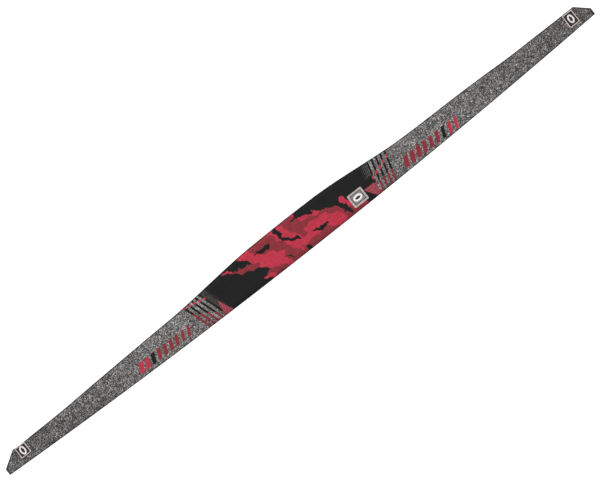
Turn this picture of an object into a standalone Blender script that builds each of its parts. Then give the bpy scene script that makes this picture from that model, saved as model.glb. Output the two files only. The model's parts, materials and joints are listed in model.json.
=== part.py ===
"""A tie headband laid flat, face up: a padded front panel, two long tapered tails, and the trim sewn on them.

The band runs along X, its width is along Y, and it rests on the plane Z = 0. Cloth bends everywhere, so the
band is built in nine lengths, each on a body of its own, and between two lengths lies a hinge line along Y.
"""

import math
from collections import namedtuple

import bmesh
import bpy
from mathutils import Vector

MM = 0.001

# The outline
HALF_LENGTH = 600 * MM
HALF_WIDTH = 32.2 * MM
BRIM_RISE = 14.6 * MM  # the lower edge is a shallow bow, this much higher at the tips than at the middle
TAIL_TOP = 23.2 * MM  # upper edge of the tails, carried on to the middle
TAIL_TAPER = 0.0227
TAIL_ROUNDING = 60 * MM
CROWN_RISE = HALF_WIDTH - TAIL_TOP
CROWN_FLAT, CROWN_END = 60 * MM, 240 * MM
TIP_CUT = 23 * MM  # length of the slanting cut across each tip's upper corner
TIP_END = 13.0 * MM  # width of the square end that the cut leaves

# The layers, from the table up
CLOTH = 0.6 * MM
THREAD = 0.3 * MM
PAD = 1.5 * MM
GAP = 0.3 * MM
TRIM_GAP = 0.2 * MM
EDGE_TOP = 2 * CLOTH + 2 * GAP  # top of the face cloth where there is no pad
PAD_TOP = CLOTH + GAP + PAD
FACE_TOP = PAD_TOP + GAP + CLOTH
PAD_END = 190 * MM
PAD_INSET = 9 * MM
PAD_SHOULDER = 7.5 * MM  # the face cloth climbs from the edge seam to the pad over this width
SHOULDER_FROM, SHOULDER_TO = 194 * MM, 212 * MM
SEAM_INSET = 3 * MM

# The hinge lines, from the middle outwards
FRONT_BEND = 72 * MM
TEMPLE_BEND = 216 * MM
KNOT_BEND = 284 * MM
TAIL_FOLD = 440 * MM
FRONT_AXIS_Z = FACE_TOP / 2
TAIL_AXIS_Z = EDGE_TOP / 2
CLEARANCE = 0.2 * MM


def clear_of_fold(axis_z, most_turn):
    """Half the gap that lets two lengths, as thick as twice axis_z, turn this far about their hinge line."""
    return axis_z * math.tan(math.radians(most_turn / 2)) + CLEARANCE


FRONT_GAP = clear_of_fold(FRONT_AXIS_Z, 90)
TEMPLE_GAP = clear_of_fold(TAIL_AXIS_Z, 90)
TAIL_GAP = clear_of_fold(TAIL_AXIS_Z, 120)

Length = namedtuple("Length", "name face under hinge hinge_x hinge_z inner outer")

SIDE_LENGTHS = (
    Length(
        name="temple",
        face="printed_cloth",
        under="sweat_liner",
        hinge="forehead_bend",
        hinge_x=FRONT_BEND,
        hinge_z=FRONT_AXIS_Z,
        inner=FRONT_BEND + FRONT_GAP,
        outer=TEMPLE_BEND - TEMPLE_GAP,
    ),
    Length(
        name="nape",
        face="heather_cloth",
        under="back_cloth",
        hinge="temple_bend",
        hinge_x=TEMPLE_BEND,
        hinge_z=TAIL_AXIS_Z,
        inner=TEMPLE_BEND + TEMPLE_GAP,
        outer=KNOT_BEND - TAIL_GAP,
    ),
    Length(
        name="tail",
        face="heather_cloth",
        under="back_cloth",
        hinge="knot_bend",
        hinge_x=KNOT_BEND,
        hinge_z=TAIL_AXIS_Z,
        inner=KNOT_BEND + TAIL_GAP,
        outer=TAIL_FOLD - TAIL_GAP,
    ),
    Length(
        name="tail_end",
        face="heather_cloth",
        under="back_cloth",
        hinge="tail_fold",
        hinge_x=TAIL_FOLD,
        hinge_z=TAIL_AXIS_Z,
        inner=TAIL_FOLD + TAIL_GAP,
        outer=HALF_LENGTH,
    ),
)
SIDES = (("left", -1), ("right", 1))
PATCH_LENGTH = "temple_right"

# The mesh
STATION_STEP = 15 * MM
FACE_ROWS = 8
TUBE_SIDES = 2  # a curve's bevel_resolution: eight sides

# The sewn-on trim
GRIP_SIZE = Vector((110, 5)) * MM
GRIP_THICK = 0.4 * MM
GRIP_OFF_AXIS = 12 * MM
PATCH_AT = Vector((116.5, -13.3)) * MM
PATCH_SIZE = Vector((28.0, 23.6)) * MM
PATCH_BORDER = 2.8 * MM
PATCH_THICK = 0.5 * MM
BORDER_THICK = 0.9 * MM
PATCH_MARK = Vector((15.0, 10.0)) * MM
LABEL_AT = {"left": Vector((-558.8, 1.4)) * MM, "right": Vector((563.9, -1.3)) * MM}
LABEL_SIZE = Vector((16.0, 19.2)) * MM
LABEL_FRAME = 1.2 * MM
LABEL_THICK = 0.3 * MM
LABEL_MARK = Vector((8.0, 11.0)) * MM
MARK_THICK = 0.3 * MM
MARK_OPENING = 0.42  # a mark is an oval ring whose opening is this share of it
CORNER = 1.0 * MM
BARTACK = Vector((2.0, 9.0)) * MM
BARTACK_INSET = 1.2 * MM

COLOURS = {
    "heather_cloth": (0.20, 0.18, 0.18),
    "printed_cloth": (0.42, 0.04, 0.07),
    "back_cloth": (0.03, 0.03, 0.03),
    "sweat_liner": (0.06, 0.06, 0.065),
    "spacer_knit": (0.50, 0.49, 0.47),
    "silicone": (0.10, 0.10, 0.11),
    "thread": (0.04, 0.04, 0.04),
    "light_thread": (0.62, 0.60, 0.57),
    "white_thread": (0.85, 0.84, 0.82),
    "label_ground": (0.03, 0.028, 0.03),
    "patch_ground": (0.12, 0.11, 0.11),
}
ROUGHNESS = {"silicone": 0.45, "white_thread": 0.6, "light_thread": 0.6}


# --- helpers ---


def clear_scene():
    for obj in list(bpy.data.objects):
        bpy.data.objects.remove(obj)


def collection(name, hidden=False):
    made = bpy.data.collections.new(name)
    bpy.context.scene.collection.children.link(made)
    made.hide_render = hidden
    return made


def material(name):
    made = bpy.data.materials.get(name)
    if made is None:
        made = bpy.data.materials.new(name)
        made.use_nodes = True
        shader = made.node_tree.nodes["Principled BSDF"]
        shader.inputs["Base Color"].default_value = (*COLOURS[name], 1)
        shader.inputs["Roughness"].default_value = ROUGHNESS.get(name, 0.9)
        shader.inputs["Metallic"].default_value = 0.0
    return made


def add(name, data, slot, into):
    obj = bpy.data.objects.new(name, data)
    into.objects.link(obj)
    if slot:
        data.materials.append(material(slot))
    return obj


def smooth_step(value):
    """0 below 0, 1 above 1, and an S-curve between them."""
    share = min(max(value, 0.0), 1.0)
    return share * share * (3 - 2 * share)


# --- the outline and the face's height ---


def lower_edge(x):
    return -HALF_WIDTH + BRIM_RISE * (x / HALF_LENGTH) ** 2


def upper_edge(x):
    taper = TAIL_TAPER * (math.hypot(x, TAIL_ROUNDING) - TAIL_ROUNDING)
    crown = CROWN_RISE * smooth_step((CROWN_END - abs(x)) / (CROWN_END - CROWN_FLAT))
    edge = TAIL_TOP - taper + crown
    from_cut = HALF_LENGTH - abs(x)
    if from_cut >= TIP_CUT:
        return edge
    end = lower_edge(x) + TIP_END
    return end + (edge - end) * from_cut / TIP_CUT


def face_height(x, y):
    """Top of the face cloth: low along the seams and over the tails, and raised over the pad."""
    to_edge = min(y - lower_edge(x), upper_edge(x) - y)
    over_pad = smooth_step((SHOULDER_TO - abs(x)) / (SHOULDER_TO - SHOULDER_FROM))
    return EDGE_TOP + (FACE_TOP - EDGE_TOP) * over_pad * smooth_step(to_edge / PAD_SHOULDER)


def stations(x_from, x_to):
    """Where along the band a length has a row of points: its ends, even steps, and the turns of its shape."""
    steps = max(1, round((x_to - x_from) / STATION_STEP))
    spots = [x_from + (x_to - x_from) * step / steps for step in range(steps + 1)]
    turns = [side * turn for side in (-1, 1) for turn in (SHOULDER_FROM, HALF_LENGTH - TIP_CUT)]
    inside = [turn for turn in turns if x_from < turn < x_to]
    kept = [x for x in spots if all(abs(x - turn) > STATION_STEP / 3 for turn in inside)]
    return sorted(kept + inside)


# --- soft layers ---


def layer(name, slot, places, rows, inset, height, thick, into):
    """A length of one layer: a grid laid on the outline at these places, with Solidify below it."""
    bm = bmesh.new()
    columns = len(places) - 1
    bmesh.ops.create_grid(bm, x_segments=columns, y_segments=rows, size=1)
    for vert in bm.verts:
        x = places[round((vert.co.x + 1) / 2 * columns)]
        low, high = lower_edge(x) + inset, upper_edge(x) - inset
        y = low + (high - low) * (vert.co.y + 1) / 2
        vert.co = (x, y, height(x, y))
    mesh = bpy.data.meshes.new(name)
    bm.to_mesh(mesh)
    bm.free()
    obj = add(name, mesh, slot, into)
    solid = obj.modifiers.new("thickness", "SOLIDIFY")
    solid.thickness = thick
    solid.offset = -1
    return obj


def face_cloth(name, slot, x_from, x_to, into):
    return layer(name, slot, stations(x_from, x_to), FACE_ROWS, 0, face_height, CLOTH, into)


def flat_cloth(name, slot, x_from, x_to, into):
    return layer(name, slot, stations(x_from, x_to), 1, 0, lambda x, y: CLOTH, CLOTH, into)


def absorbent_pad(name, x_from, x_to, into):
    """Thick spacer knit under the face cloth, set in from the seams and ending short of the tails."""
    start, end = max(x_from, -PAD_END), min(x_to, PAD_END)
    steps = max(1, round((end - start) / STATION_STEP))
    places = [start + (end - start) * step / steps for step in range(steps + 1)]
    return layer(name, "spacer_knit", places, 1, PAD_INSET, lambda x, y: PAD_TOP, PAD, into)


def seam_routes(x_from, x_to):
    """The points of a length's seams by name: one along each edge, or a single one that rounds the tip."""
    places = stations(x_from, x_to)
    lower = [(x, lower_edge(x) + SEAM_INSET) for x in places]
    upper = [(x, upper_edge(x) - SEAM_INSET) for x in places]
    if -HALF_LENGTH < x_from and x_to < HALF_LENGTH:
        return {"lower": lower, "upper": upper}
    if x_from < 0:
        lower.reverse()
        upper.reverse()
    tip_x = math.copysign(HALF_LENGTH - SEAM_INSET, x_from)
    lower[-1] = (tip_x, lower_edge(tip_x) + SEAM_INSET)
    upper[-1] = (tip_x, upper_edge(tip_x) - SEAM_INSET)
    return {"round": lower + upper[::-1]}


def seam_threads(length, x_from, x_to, into):
    """The hidden threads that join the face cloth to the layer under it."""
    made = []
    for run, route in seam_routes(x_from, x_to).items():
        name = f"seam_thread_{length}_{run}"
        curve = bpy.data.curves.new(name, "CURVE")
        curve.dimensions = "3D"
        curve.bevel_depth = THREAD / 2
        curve.bevel_resolution = TUBE_SIDES
        curve.use_fill_caps = True
        spline = curve.splines.new("POLY")
        spline.points.add(len(route) - 1)
        for point, (x, y) in zip(spline.points, route):
            point.co = (x, y, EDGE_TOP / 2, 1)
        made.append(add(name, curve, "thread", into))
    return made


# --- trim ---


def plate(name, slot, at, size, bottom, thick, into):
    """A flat piece with rounded corners, centred on at."""
    bm = bmesh.new()
    bmesh.ops.create_cube(bm, size=1)
    for vert in bm.verts:
        vert.co = (vert.co.x * size.x, vert.co.y * size.y, (vert.co.z + 0.5) * thick)
    upright = [edge for edge in bm.edges if abs(edge.verts[0].co.z - edge.verts[1].co.z) > thick / 2]
    bmesh.ops.bevel(bm, geom=upright, offset=min(CORNER, size.x / 4), segments=3, profile=0.5, affect="EDGES")
    mesh = bpy.data.meshes.new(name)
    bm.to_mesh(mesh)
    bm.free()
    obj = add(name, mesh, slot, into)
    obj.location = (at.x, at.y, bottom)
    return obj


def oval(size, steps=24):
    """The points of an ellipse of this length and width."""
    turns = [2 * math.pi * step / steps for step in range(steps)]
    return [(size.x / 2 * math.cos(turn), size.y / 2 * math.sin(turn)) for turn in turns]


def rounded_box(size, radius, steps=4):
    """The points of a rectangle whose corners are arcs of this radius."""
    points = []
    for corner, (sign_x, sign_y) in enumerate(((1, 1), (-1, 1), (-1, -1), (1, -1))):
        centre = (sign_x * (size.x / 2 - radius), sign_y * (size.y / 2 - radius))
        for step in range(steps + 1):
            turn = math.pi / 2 * (corner + step / steps)
            points.append((centre[0] + radius * math.cos(turn), centre[1] + radius * math.sin(turn)))
    return points


def ring(name, slot, at, outer, inner, bottom, thick, into):
    """A flat ring between two outlines, as a 2D curve with a hole."""
    curve = bpy.data.curves.new(name, "CURVE")
    curve.dimensions = "2D"
    curve.fill_mode = "BOTH"
    curve.extrude = thick / 2
    for points in (outer, inner):
        spline = curve.splines.new("POLY")
        spline.use_cyclic_u = True
        spline.points.add(len(points) - 1)
        for point, (x, y) in zip(spline.points, points):
            point.co = (x, y, 0, 1)
    obj = add(name, curve, slot, into)
    obj.location = (at.x, at.y, bottom + thick / 2)
    return obj


def front_patch(into):
    """The woven patch on the front panel: ground, overlocked border and raised oval mark."""
    bottom = FACE_TOP + TRIM_GAP
    opening = PATCH_SIZE - Vector((2, 2)) * PATCH_BORDER
    ground = opening - Vector((2, 2)) * TRIM_GAP
    border = (rounded_box(PATCH_SIZE, CORNER), rounded_box(opening, CORNER))
    mark = (oval(PATCH_MARK), oval(PATCH_MARK * MARK_OPENING))
    mark_bottom = bottom + PATCH_THICK + TRIM_GAP
    return [
        plate("patch_ground", "patch_ground", PATCH_AT, ground, bottom, PATCH_THICK, into),
        ring("patch_border", "light_thread", PATCH_AT, *border, bottom, BORDER_THICK, into),
        ring("patch_mark", "white_thread", PATCH_AT, *mark, mark_bottom, MARK_THICK, into),
    ]


def tip_label(side, into):
    """The small woven label near a tail's tip: dark ground, light frame and oval mark."""
    at = LABEL_AT[side]
    bottom = EDGE_TOP + TRIM_GAP
    opening = LABEL_SIZE - Vector((2, 2)) * LABEL_FRAME
    ground = opening - Vector((2, 2)) * TRIM_GAP
    frame = (rounded_box(LABEL_SIZE, CORNER / 2), rounded_box(opening, CORNER / 2))
    mark = (oval(LABEL_MARK), oval(LABEL_MARK * MARK_OPENING))
    mark_bottom = bottom + LABEL_THICK + TRIM_GAP
    return [
        plate(f"label_ground_{side}", "label_ground", at, ground, bottom, LABEL_THICK, into),
        ring(f"label_frame_{side}", "light_thread", at, *frame, bottom, LABEL_THICK, into),
        ring(f"label_mark_{side}", "white_thread", at, *mark, mark_bottom, MARK_THICK, into),
    ]


def bartack(side, sign, into):
    """The dense stitching that closes a tail's square end."""
    x = sign * (HALF_LENGTH - BARTACK_INSET - BARTACK.x / 2)
    y = lower_edge(x) + BARTACK_INSET + BARTACK.y / 2
    bottom = EDGE_TOP + TRIM_GAP
    return [plate(f"tip_bartack_{side}", "thread", Vector((x, y)), BARTACK, bottom, MARK_THICK, into)]


def block(name, size, slot, into):
    """A box of this size about its own origin."""
    bm = bmesh.new()
    bmesh.ops.create_cube(bm, size=1)
    bmesh.ops.scale(bm, vec=size, verts=bm.verts)
    mesh = bpy.data.meshes.new(name)
    bm.to_mesh(mesh)
    bm.free()
    return add(name, mesh, slot, into)


def grip_strips(liner, into, cutters):
    """Two silicone strips in slots through the forehead's liner, flush with its underside."""
    for run, sign in (("lower", -1), ("upper", 1)):
        strip = block(f"grip_strip_{run}", (GRIP_SIZE.x, GRIP_SIZE.y, GRIP_THICK), "silicone", into)
        strip.location = (0, sign * GRIP_OFF_AXIS, GRIP_THICK / 2)
        slot_size = (GRIP_SIZE.x + 2 * GAP, GRIP_SIZE.y + 2 * GAP, 4 * CLOTH)
        slot = block(f"grip_slot_{run}", slot_size, None, cutters)
        slot.location = (0, sign * GRIP_OFF_AXIS, CLOTH / 2)
        slot.hide_render = True
        slot.display_type = "WIRE"
        cut = liner.modifiers.new(f"grip slot {run}", "BOOLEAN")
        cut.operation = "DIFFERENCE"
        cut.solver = "EXACT"
        cut.object = slot


# --- the assembly ---


def forehead(into, cutters):
    ends = (-FRONT_BEND + FRONT_GAP, FRONT_BEND - FRONT_GAP)
    face_cloth("face_cloth_forehead", "printed_cloth", *ends, into)
    absorbent_pad("absorbent_pad_forehead", *ends, into)
    liner = flat_cloth("sweat_liner_forehead", "sweat_liner", *ends, into)
    seam_threads("forehead", *ends, into)
    grip_strips(liner, into, cutters)


def side_length(side, sign, length, into):
    """The layers of one side length, and the trim that it carries."""
    ends = sorted((sign * length.inner, sign * length.outer))
    name = f"{length.name}_{side}"
    made = [
        face_cloth(f"face_cloth_{name}", length.face, *ends, into),
        flat_cloth(f"{length.under}_{name}", length.under, *ends, into),
        *seam_threads(name, *ends, into),
    ]
    if length.name == "temple":
        made.append(absorbent_pad(f"absorbent_pad_{name}", *ends, into))
    if name == PATCH_LENGTH:
        made += front_patch(into)
    if length.name == "tail_end":
        made += tip_label(side, into) + bartack(side, sign, into)
    return made


def hang(made, name, at, carrier):
    """Puts a length's nodes on an empty at its hinge line, and that empty on the one further in."""
    empty = bpy.data.objects.new(name, None)
    bpy.context.scene.collection.objects.link(empty)
    empty.location = at
    empty.parent = carrier
    if carrier:
        empty.matrix_parent_inverse = carrier.matrix_world.inverted()
    bpy.context.view_layer.update()
    for obj in made:
        obj.parent = empty
        obj.matrix_parent_inverse = empty.matrix_world.inverted()
    return empty


def main():
    clear_scene()
    band = collection("tie_headband")
    cutters = collection("cutters", hidden=True)
    forehead(band, cutters)
    for side, sign in SIDES:
        carrier = None
        for length in SIDE_LENGTHS:
            made = side_length(side, sign, length, band)
            at = (sign * length.hinge_x, 0, length.hinge_z)
            carrier = hang(made, f"{length.hinge}_{side}", at, carrier)


main()
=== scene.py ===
"""The looks of a tie headband: printed face cloth, back cloth, sweat liner, woven trim and hidden seams.

The band lies along X with its printed face up. Every cloth is a closed thin sheet made from one pair of
outline curves. It is cut at the middle of each body, so that each length spans one hinge.
"""

import json
import math

import bmesh
import bpy
import numpy as np
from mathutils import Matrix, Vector

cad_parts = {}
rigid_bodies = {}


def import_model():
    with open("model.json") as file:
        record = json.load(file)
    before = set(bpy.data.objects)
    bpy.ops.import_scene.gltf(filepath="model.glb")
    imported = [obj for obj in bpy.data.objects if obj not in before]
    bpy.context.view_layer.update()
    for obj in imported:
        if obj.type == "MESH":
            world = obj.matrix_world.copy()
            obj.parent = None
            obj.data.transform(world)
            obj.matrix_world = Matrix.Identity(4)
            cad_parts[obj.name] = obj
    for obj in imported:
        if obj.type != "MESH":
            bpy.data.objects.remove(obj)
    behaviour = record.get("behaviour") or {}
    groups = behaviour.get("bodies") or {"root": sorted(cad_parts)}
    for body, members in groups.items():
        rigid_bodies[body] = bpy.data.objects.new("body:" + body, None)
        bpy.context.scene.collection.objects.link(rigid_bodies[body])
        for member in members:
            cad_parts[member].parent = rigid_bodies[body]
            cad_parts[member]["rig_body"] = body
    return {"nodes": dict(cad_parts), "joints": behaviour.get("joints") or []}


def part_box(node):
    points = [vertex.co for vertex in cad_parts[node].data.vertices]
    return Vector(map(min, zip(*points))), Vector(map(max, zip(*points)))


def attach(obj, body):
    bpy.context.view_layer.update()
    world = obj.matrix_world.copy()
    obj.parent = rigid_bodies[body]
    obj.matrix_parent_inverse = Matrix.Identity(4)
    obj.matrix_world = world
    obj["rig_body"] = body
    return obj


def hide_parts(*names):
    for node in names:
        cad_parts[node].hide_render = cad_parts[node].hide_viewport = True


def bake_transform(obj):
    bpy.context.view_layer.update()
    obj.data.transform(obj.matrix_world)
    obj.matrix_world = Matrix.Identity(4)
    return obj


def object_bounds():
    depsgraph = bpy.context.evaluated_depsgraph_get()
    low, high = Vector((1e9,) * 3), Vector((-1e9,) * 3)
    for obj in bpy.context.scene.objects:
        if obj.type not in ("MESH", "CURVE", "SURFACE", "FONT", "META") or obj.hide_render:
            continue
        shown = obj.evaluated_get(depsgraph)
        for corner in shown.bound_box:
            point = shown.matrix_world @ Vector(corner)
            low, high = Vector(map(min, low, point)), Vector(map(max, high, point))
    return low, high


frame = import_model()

CAD_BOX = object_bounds()
MM = 0.001

# --- sizes, from the frame ----------------------------------------------------

HALF_LENGTH = CAD_BOX[1].x
HALF_WIDTH = CAD_BOX[1].y
FACE_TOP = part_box("face_cloth_forehead")[1].z
EDGE_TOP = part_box("face_cloth_tail_left")[1].z
SEAM_Z = EDGE_TOP / 2
HINGE_X = sorted({round(abs(joint["pos_m"][0]), 6) for joint in frame["joints"]})
BODIES = ("forehead", "temple", "nape", "tail", "tail_end")
SIDES = {"left": -1, "right": 1}

# --- the outline --------------------------------------------------------------

BRIM_RISE = 14.6 * MM  # the lower edge bows up by this much from the middle to the tips
TAIL_TOP = 23.2 * MM
TAIL_TAPER = {-1: 0.0243, 1: 0.0208}  # the left arm narrows a little faster
TAIL_ROUNDING = 60 * MM
CROWN_FLAT = {-1: 66 * MM, 1: 56 * MM}  # the crown falls away sooner and faster on the right
CROWN_END = {-1: 250 * MM, 1: 228 * MM}
TIP_CUT = {-1: 28 * MM, 1: 21.5 * MM}  # the slanting cut starts this far from each end
TIP_END = 11.6 * MM
# Where the soft upper edge strays from its even curve: middle, reach and height, in millimetres.
STRAYS = (
    (-575, 13, 1.2), (-470, 50, -1.0), (-250, 110, 1.3),
    (250, 60, -1.0), (450, 45, -1.1), (590, 40, 1.1),
)

# --- the cloth's section ------------------------------------------------------

CLOTH = 0.5 * MM
ROLL = 0.9 * MM  # the turned edge is round over this width
PAD_SHOULDER = 8 * MM
PAD_END = 190 * MM
PAD_FADE = 24 * MM
SEAM_GROOVE = 0.40 * MM
SEAM_FROM_EDGE = 2.3 * MM
SEAM_HALF_WIDTH = 0.8 * MM
STITCH = 2.8 * MM
PUCKER_PITCH = 3.1 * STITCH
CLOTH_SWELL, PAD_SWELL, UNDER_SWELL, PUCKER = 0.14 * MM, 0.14 * MM, 0.12 * MM, 0.15 * MM
PAD_BOTTOM, PAD_TOP = (corner.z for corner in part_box("absorbent_pad_forehead"))
BADGE_PLACE = sum(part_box("patch_border"), Vector()) / 2
BADGE_REACH = 19 * MM  # the cloth is flat this far round the badge


def smooth_step(value):
    share = np.clip(value, 0, 1)
    return share * share * (3 - 2 * share)


def lower_edge(x):
    return -HALF_WIDTH + BRIM_RISE * (x / HALF_LENGTH) ** 2


def crown_edge(x):
    """The upper edge before the tip is cut off."""
    side = np.where(x < 0, -1, 1)
    flat = np.where(side < 0, CROWN_FLAT[-1], CROWN_FLAT[1])
    end = np.where(side < 0, CROWN_END[-1], CROWN_END[1])
    rate = np.where(side < 0, TAIL_TAPER[-1], TAIL_TAPER[1])
    taper = rate * (np.hypot(x, TAIL_ROUNDING) - TAIL_ROUNDING)
    crown = (HALF_WIDTH - TAIL_TOP) * smooth_step((end - np.abs(x)) / (end - flat))
    return TAIL_TOP - taper + crown + stray_height(x)


def stray_height(x):
    """How far the upper edge bulges out, or sinks in where it is negative."""
    bulges = [height * np.exp(-(((x / MM - middle) / reach) ** 2)) for middle, reach, height in STRAYS]
    return MM * sum(bulges)


def tip_line(x):
    """The height of the slanting cut's own line, and how fast it falls, for x near a tip."""
    cut = np.where(x < 0, TIP_CUT[-1], TIP_CUT[1])
    start = HALF_LENGTH - cut
    high = crown_edge(np.where(x < 0, -start, start))
    fall = (high - lower_edge(HALF_LENGTH) - TIP_END) / cut
    return high - fall * (np.abs(x) - start), fall


def upper_edge(x):
    return np.minimum(crown_edge(x), tip_line(x)[0])


def edge_distance(x, y):
    """How far a point is inside the outline."""
    line, fall = tip_line(x)
    to_cut = (line - y) / np.hypot(1, fall)
    to_sides = np.minimum(y - lower_edge(x), crown_edge(x) - y)
    return np.maximum(np.minimum(np.minimum(to_sides, to_cut), HALF_LENGTH - np.abs(x)), 0)


def waves(x, y):
    """Slow uneven swelling between -1 and 1, from a few crossing ripples."""
    first = np.sin(x / 0.031 + 1.7 * np.sin(y / 0.019)) * np.sin(y / 0.014 + 0.9 + x / 0.11)
    second = np.sin(x / 0.0137 + 2.3 + y / 0.021) * np.sin(y / 0.0093 - x / 0.047)
    return 0.65 * first + 0.35 * second


def seam_depth(x, edge):
    """1 at the bottom of the stitched groove beside the edge, deeper at each stitch."""
    line = np.exp(-(((edge - SEAM_FROM_EDGE) / SEAM_HALF_WIDTH) ** 2))
    return line * (0.72 + 0.28 * np.cos(2 * math.pi * x / STITCH))


def turned_edge(edge):
    """0 at the very edge and 1 from ROLL inwards, round between them."""
    return np.sqrt(1 - (1 - np.clip(edge / ROLL, 0, 1)) ** 2)


def face_top(x, y):
    edge = edge_distance(x, y)
    over_pad = smooth_step((PAD_END + PAD_FADE - np.abs(x)) / PAD_FADE)
    pad = (FACE_TOP - EDGE_TOP) * over_pad * smooth_step(edge / PAD_SHOULDER)
    inside = smooth_step((edge - 3 * MM) / (6 * MM))
    from_badge = np.hypot((x - BADGE_PLACE.x) / BADGE_REACH, (y - BADGE_PLACE.y) / BADGE_REACH)
    swell = (CLOTH_SWELL + PAD_SWELL * over_pad) * waves(x, y) * inside * smooth_step(from_badge - 1)
    pucker = np.sin(2 * math.pi * x / PUCKER_PITCH + 2 * np.sin(x / 0.017))
    pucker = PUCKER * pucker * np.exp(-(((edge - 4.5 * MM) / (2.5 * MM)) ** 2))
    rise = (EDGE_TOP - SEAM_Z) * turned_edge(edge)
    return SEAM_Z + rise + pad + swell + pucker - SEAM_GROOVE * seam_depth(x, edge)


def under_bottom(x, y):
    edge = edge_distance(x, y)
    inside = smooth_step((edge - 3 * MM) / (6 * MM))
    lift = UNDER_SWELL * (1 + waves(x + 0.4, y)) * inside
    return SEAM_Z * (1 - turned_edge(edge)) + lift + 0.7 * SEAM_GROOVE * seam_depth(x, edge)


# --- sheets -------------------------------------------------------------------

EDGE_ROWS = np.array((0, 0.08, 0.22, 0.42, 0.66, 0.95, 1.35, 1.75, 2.1, 2.45, 2.8, 3.3, 3.9)) * MM
FINE_STEP, COARSE_STEP = 0.7 * MM, 1.6 * MM
BEND_ZONE, BEND_COLUMNS = 8 * MM, 37  # this far each side of a hinge the columns are closer together
FINE_ROWS, COARSE_ROWS = 66, 36


def span_columns(x_from, x_to, step):
    """Columns from one x to another, closer together over a hinge and near a tip's turned end."""
    count = max(2, round(abs(x_to - x_from) / step))
    spots = np.linspace(x_from, x_to, count + 1)
    sign = math.copysign(1, x_to)
    for hinge in HINGE_X:
        if min(abs(x_from), abs(x_to)) < hinge < max(abs(x_from), abs(x_to)):
            bent = np.linspace(sign * (hinge - BEND_ZONE), sign * (hinge + BEND_ZONE), BEND_COLUMNS)
            straight = spots[np.abs(spots - sign * hinge) > BEND_ZONE + 0.3 * step]
            spots = np.concatenate((straight, bent))
            spots = sign * np.sort(sign * spots)
    if abs(x_to) < HALF_LENGTH - 1e-6:
        return spots
    inner = spots[np.abs(spots) < HALF_LENGTH - EDGE_ROWS[-1] - step / 2]
    corner = sign * (HALF_LENGTH - TIP_CUT[sign])
    inner[np.argmin(np.abs(inner - corner))] = corner
    return np.concatenate((inner, sign * (HALF_LENGTH - EDGE_ROWS[::-1])))


def cloth_grid(columns, inner_rows):
    """x and y of a sheet's points: close rows beside both edges, even rows between them."""
    low, high = lower_edge(columns), upper_edge(columns)
    width = high - low
    near = np.minimum(EDGE_ROWS[None, :], width[:, None] * (EDGE_ROWS / EDGE_ROWS[-1])[None, :] * 0.3)
    across = np.linspace(0, 1, inner_rows + 2)[1:-1]
    reach = near[:, -1:]
    middle = reach + (width[:, None] - 2 * reach) * across[None, :]
    rows = np.concatenate((near, middle, width[:, None] - near[:, ::-1]), axis=1)
    return np.repeat(columns[:, None], rows.shape[1], axis=1), low[:, None] + rows


def closed_sheet(name, x, y, outer, inner, tip_end):
    """A mesh of two grids that share their long edges, and their last column at a tip."""
    columns, rows = x.shape
    outside = np.arange(columns * rows).reshape(columns, rows)
    inside = outside + columns * rows
    inside[:, 0], inside[:, -1] = outside[:, 0], outside[:, -1]
    if tip_end:
        inside[-1, :] = outside[-1, :]
    points = np.concatenate(
        (np.stack((x, y, outer), -1).reshape(-1, 3), np.stack((x, y, inner), -1).reshape(-1, 3))
    )
    quads = [grid_quads(outside), grid_quads(inside)]
    quads.append(strip_quads(inside[0, :], outside[0, :]))
    if not tip_end:
        quads.append(strip_quads(outside[-1, :], inside[-1, :]))
    return mesh_object(name, points, np.concatenate(quads).tolist())


def grid_quads(index):
    return np.stack((index[:-1, :-1], index[1:, :-1], index[1:, 1:], index[:-1, 1:]), -1).reshape(-1, 4)


def strip_quads(first, second):
    return np.stack((first[:-1], second[:-1], second[1:], first[1:]), -1)


def mesh_object(name, points, faces):
    """An object from points and faces, without the faces that collapse and the points that go unused."""
    polygons = [tuple(dict.fromkeys(face)) for face in faces]
    polygons = [face for face in polygons if len(face) > 2]
    used = np.unique(np.concatenate([np.array(face) for face in polygons]))
    number = np.full(len(points), -1)
    number[used] = np.arange(len(used))
    mesh = bpy.data.meshes.new(name)
    corners = [[int(number[corner]) for corner in face] for face in polygons]
    mesh.from_pydata(points[used].tolist(), [], corners)
    turned = bmesh.new()
    turned.from_mesh(mesh)
    bmesh.ops.recalc_face_normals(turned, faces=turned.faces)
    turned.to_mesh(mesh)
    turned.free()
    mesh.shade_smooth()
    mesh.set_sharp_from_angle(angle=math.radians(55))
    obj = bpy.data.objects.new(name, mesh)
    bpy.context.scene.collection.objects.link(obj)
    return obj


def coordinates(obj):
    flat = np.zeros(len(obj.data.vertices) * 3, np.float32)
    obj.data.vertices.foreach_get("co", flat)
    return flat.reshape(-1, 3).astype(float)


def store(obj, name, values):
    """Keeps a number for each point, which the materials read; it goes with the cloth when it bends."""
    attribute = obj.data.attributes.new(name, "FLOAT", "POINT")
    attribute.data.foreach_set("value", values.astype(np.float32))


def store_place(obj):
    """Keeps each point's place in the flat band, so that a weave doesn't slide when the cloth bends."""
    attribute = obj.data.attributes.new("place", "FLOAT_VECTOR", "POINT")
    attribute.data.foreach_set("vector", coordinates(obj).astype(np.float32).ravel())


# --- the print ----------------------------------------------------------------
# A plain splinter camouflage, worked out by formula, between two rows of leaning stripes. All of it is in
# millimetres of the flat band. Each ink is laid over the ones before it in INKS.

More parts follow.
